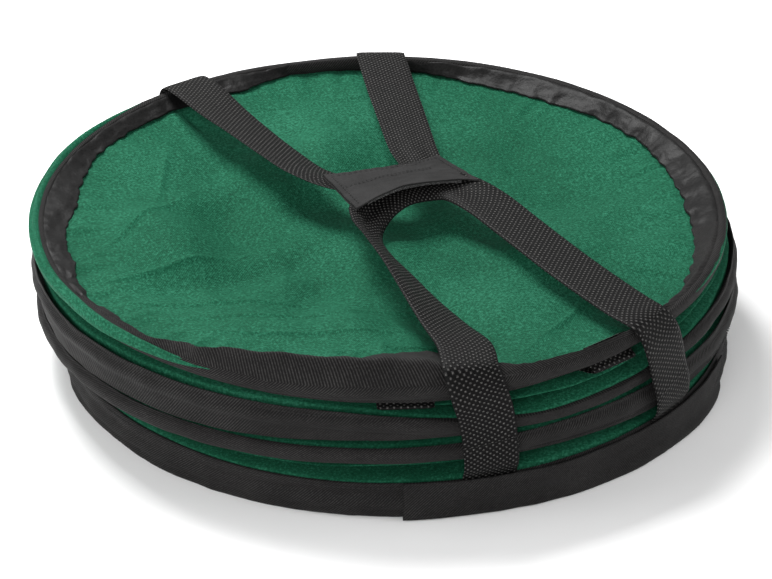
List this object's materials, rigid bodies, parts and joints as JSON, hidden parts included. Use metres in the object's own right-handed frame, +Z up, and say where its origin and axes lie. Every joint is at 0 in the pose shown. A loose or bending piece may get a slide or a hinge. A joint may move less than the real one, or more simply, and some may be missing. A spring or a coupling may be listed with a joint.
{
  "type": "pop-up fabric cylinder",
  "caption": "Round fabric pop-up cylinder held flat: spring hoops in black bands, green walls folded between them, closed end on top, webbing handles meeting in a wrapped carry grip.",
  "frame": {"origin": "on the floor under the middle of the folded stack", "axes": "+Z up through the middle of the hoops; the two handles are mirror images across the XZ plane, and the grip runs along X"},
  "size_m": [0.5092, 0.5078, 0.1213],
  "materials": {
    "spring_steel": "drawn spring wire, lightly oiled",
    "sleeve_steel": "crimped zinc-plated steel",
    "black_binding": "close-woven black polyester, matt",
    "black_coated": "black coated polyester, slight sheen",
    "black_webbing": "coarse plain-woven polypropylene webbing",
    "black_thread": "twisted polyester sewing thread",
    "green_polyester": "plain-woven green polyester, soft sheen",
    "green_piping": "green polyester rolled over a cord",
    "wrap_fabric": "smooth black fabric, padded",
    "loop_pile": "soft loop pile",
    "hook_tape": "moulded nylon hooks"
  },
  "bodies": {
    "mouth": {"mouth_hoop": "spring_steel", "mouth_sleeve": "sleeve_steel", "mouth_hem": "black_binding", "hem_overlap": "black_binding", "front_anchors": "black_webbing", "rear_anchors": "black_webbing", "anchor_stitches": "black_thread"},
    "lower": {"lower_hoop": "spring_steel", "lower_sleeve": "sleeve_steel", "lower_casing": "black_binding", "lower_wall": "green_polyester", "lower_wall_strips": "black_webbing"},
    "upper": {"upper_hoop": "spring_steel", "upper_sleeve": "sleeve_steel", "upper_casing": "black_binding", "middle_wall": "green_polyester", "middle_wall_strips": "black_webbing"},
    "crown": {"crown_hoop": "spring_steel", "crown_sleeve": "sleeve_steel", "crown_binding": "black_binding", "upper_wall": "green_polyester", "upper_wall_strips": "black_webbing", "end_border": "black_coated", "end_panel": "green_polyester", "crown_piping": "green_piping"},
    "front_tail": {"front_tails": "black_webbing"},
    "front_strap": {"front_handle": "black_webbing"},
    "rear_tail": {"rear_tails": "black_webbing"},
    "rear_strap": {"rear_handle": "black_webbing", "grip_wrap": "wrap_fabric", "loop_patch": "loop_pile"},
    "flap": {"wrap_flap": "wrap_fabric", "hook_patch": "hook_tape", "flap_stitches": "black_thread"}
  },
  "joints": [
    {"name": "pop_up", "type": "slide", "parent": "mouth", "child": "lower", "axis": [0, 0, 1], "range_m": [0, 0.125], "deforming": ["lower_wall", "lower_wall_strips"]},
    {"name": "upper_rise", "type": "slide", "parent": "lower", "child": "upper", "axis": [0, 0, 1], "range_m": [0, 0.125], "deforming": ["middle_wall", "middle_wall_strips"]},
    {"name": "crown_rise", "type": "slide", "parent": "upper", "child": "crown", "axis": [0, 0, 1], "range_m": [0, 0.125], "deforming": ["upper_wall", "upper_wall_strips"]},
    {"name": "front_tail_swing", "type": "hinge", "parent": "mouth", "child": "front_tail", "pos_m": [0.03691, -0.24119, 0.03], "axis": [0.9885, 0.1513, 0], "range_deg": [0, 94], "deforming": ["front_tails"]},
    {"name": "front_handle_swing", "type": "hinge", "parent": "front_tail", "child": "front_strap", "pos_m": [0.03706, -0.24218, 0.1128], "axis": [0.9885, 0.1513, 0], "range_deg": [0, 84], "deforming": ["front_handle"]},
    {"name": "rear_tail_swing", "type": "hinge", "parent": "mouth", "child": "rear_tail", "pos_m": [0.03691, 0.24119, 0.03], "axis": [-0.9885, 0.1513, 0], "range_deg": [0, 94], "deforming": ["rear_tails"]},
    {"name": "rear_handle_swing", "type": "hinge", "parent": "rear_tail", "child": "rear_strap", "pos_m": [0.03706, 0.24218, 0.1128], "axis": [-0.9885, 0.1513, 0], "range_deg": [0, 84], "deforming": ["rear_handle"]},
    {"name": "flap_open", "type": "hinge", "parent": "rear_strap", "child": "flap", "pos_m": [0.023, 0.0419, 0.1197], "axis": [-1, 0, 0], "range_deg": [0, 175]}
  ],
  "couplings": [
    {"joint": "upper_rise", "follows": "pop_up", "ratio": 1},
    {"joint": "crown_rise", "follows": "pop_up", "ratio": 1},
    {"joint": "front_tail_swing", "follows": "pop_up", "rad_per_m": 13.12},
    {"joint": "front_handle_swing", "follows": "pop_up", "rad_per_m": 11.72},
    {"joint": "rear_tail_swing", "follows": "pop_up", "rad_per_m": 13.12},
    {"joint": "rear_handle_swing", "follows": "pop_up", "rad_per_m": 11.72}
  ]
}
